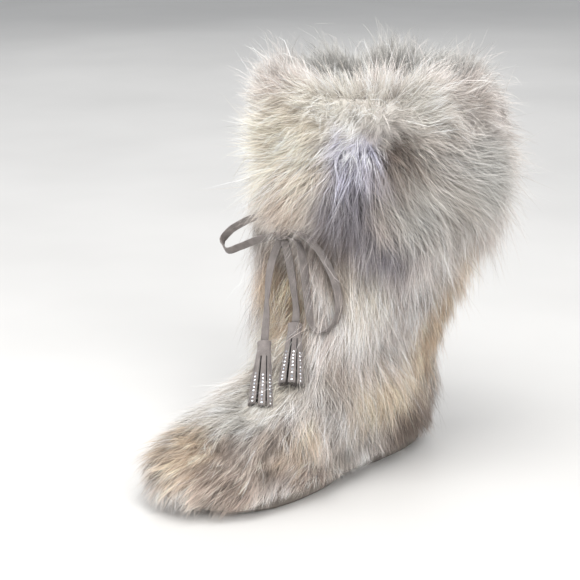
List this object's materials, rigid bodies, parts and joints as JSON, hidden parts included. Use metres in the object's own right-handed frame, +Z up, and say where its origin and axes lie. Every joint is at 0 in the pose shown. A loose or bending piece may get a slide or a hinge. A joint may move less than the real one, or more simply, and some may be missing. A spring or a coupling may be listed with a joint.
{
  "type": "fur boot",
  "caption": "Mid-calf long-haired fur boot for the left foot, with a deep fur cuff, a flat suede tie in a tasselled bow and a thin flat rubber sole.",
  "frame": {"origin": "on the floor, at the middle of the flat of the heel", "axes": "+X to the toe, +Y to the wearer's left, which is the outer side of this left boot, +Z up"},
  "size_m": [0.356, 0.2228, 0.3313],
  "materials": {
    "sole_rubber": "matt moulded rubber",
    "felt": "felt",
    "hide": "napped hide, pile lining inside",
    "fur": "long mixed cream, tan and grey fur",
    "suede": "grey-taupe suede"
  },
  "bodies": {
    "root": {"outsole": "sole_rubber", "insole": "felt", "upper": "hide", "vamp_fur": "fur", "shaft_fur": "fur", "cuff_fur": "fur", "tie_band": "suede", "tie_knot": "suede", "tie_loop_medial": "suede", "tie_loop_lateral": "suede", "tie_end_medial": "suede", "tie_end_lateral": "suede", "tassel_medial": "suede", "tassel_lateral": "suede"}
  },
  "joints": []
}
